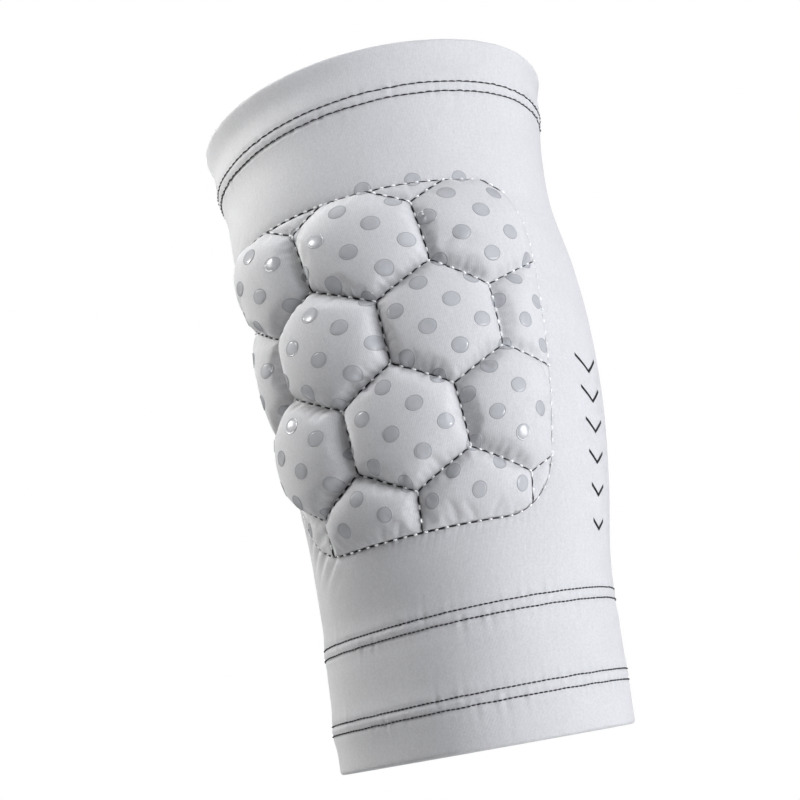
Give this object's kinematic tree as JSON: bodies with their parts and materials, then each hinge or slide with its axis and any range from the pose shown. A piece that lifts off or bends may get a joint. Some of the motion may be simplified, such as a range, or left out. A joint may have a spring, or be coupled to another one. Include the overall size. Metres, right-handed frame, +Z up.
{
  "type": "padded elbow sleeve",
  "caption": "Pull-on elbow brace: a pale stretch-knit tube with folded cuffs and a quilted honeycomb pad over the point of the elbow.",
  "frame": {"origin": "middle of the elbow, on the arm's centre line and level with the middle of the pad", "axes": "+Z up the arm from forearm to upper arm, -Y out of the pad, +X to the side"},
  "size_m": [0.1204, 0.1202, 0.238],
  "materials": {
    "knit": "fine matt stretch knit",
    "pad_cover": "fine matt stretch knit over soft foam",
    "seam_thread": "dark charcoal sewing thread",
    "needle_thread": "white sewing thread",
    "silicone_dot": "translucent grey silicone with a soft gloss",
    "line_print": "thin matt black print"
  },
  "bodies": {
    "root": {"upper_cuff": "knit", "sleeve": "knit", "lower_cuff": "knit", "pad_cell_0_1": "pad_cover", "pad_cell_0_2": "pad_cover", "pad_cell_1_1": "pad_cover", "pad_cell_1_2": "pad_cover", "pad_cell_1_3": "pad_cover", "pad_cell_2_1": "pad_cover", "pad_cell_2_2": "pad_cover", "pad_cell_2_3": "pad_cover", "pad_cell_2_4": "pad_cover", "pad_cell_3_1": "pad_cover", "pad_cell_3_2": "pad_cover", "pad_cell_3_3": "pad_cover", "pad_cell_4_1": "pad_cover", "pad_cell_4_2": "pad_cover", "pad_cell_4_3": "pad_cover", "pad_cell_4_4": "pad_cover"}
  },
  "joints": []
}
